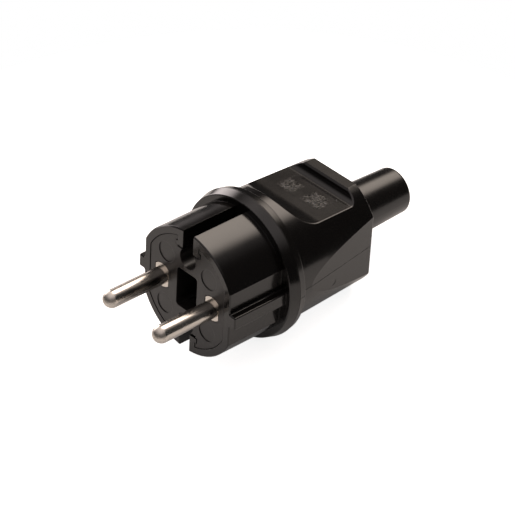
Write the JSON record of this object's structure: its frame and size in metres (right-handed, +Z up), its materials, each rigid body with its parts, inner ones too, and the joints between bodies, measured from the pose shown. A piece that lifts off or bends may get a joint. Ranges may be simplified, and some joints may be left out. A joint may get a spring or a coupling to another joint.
{
  "type": "contour plug",
  "caption": "Black rewirable contour mains plug with round pins, slotted round nose, collar ring, two-shell grip with finger recesses and a straight bend relief sleeve.",
  "frame": {"origin": "middle between the two pins on the contact face", "axes": "+X from the left pin to the right pin; +Y runs back towards the cord end, the plug's own axis points 9.4 degrees below it because the plug lies on its ring and on the rear edge of its grip; +Z up"},
  "size_m": [0.0412, 0.0932, 0.0413],
  "materials": {
    "black_shell": "polished black moulding",
    "dark_insert": "fine satin moulding",
    "nickel_plate": "bright nickel plate on brass",
    "brass": "machined",
    "zinc_steel": "zinc plated",
    "clamp_plastic": "fibre-filled moulding",
    "soft_sleeve": "smooth soft moulding"
  },
  "bodies": {
    "root": {"front_shell": "black_shell", "contact_carrier": "dark_insert", "left_pin": "nickel_plate", "right_pin": "nickel_plate", "terminal_blocks": "brass", "terminal_screws": "zinc_steel", "upper_grip_shell": "black_shell", "lower_grip_shell": "black_shell", "housing_inserts": "brass", "housing_screws": "zinc_steel", "carrier_screw": "zinc_steel", "carrier_nut": "zinc_steel", "cord_clamp_bar": "clamp_plastic", "cord_clamp_screws": "zinc_steel", "bend_relief_sleeve": "soft_sleeve"}
  },
  "joints": []
}
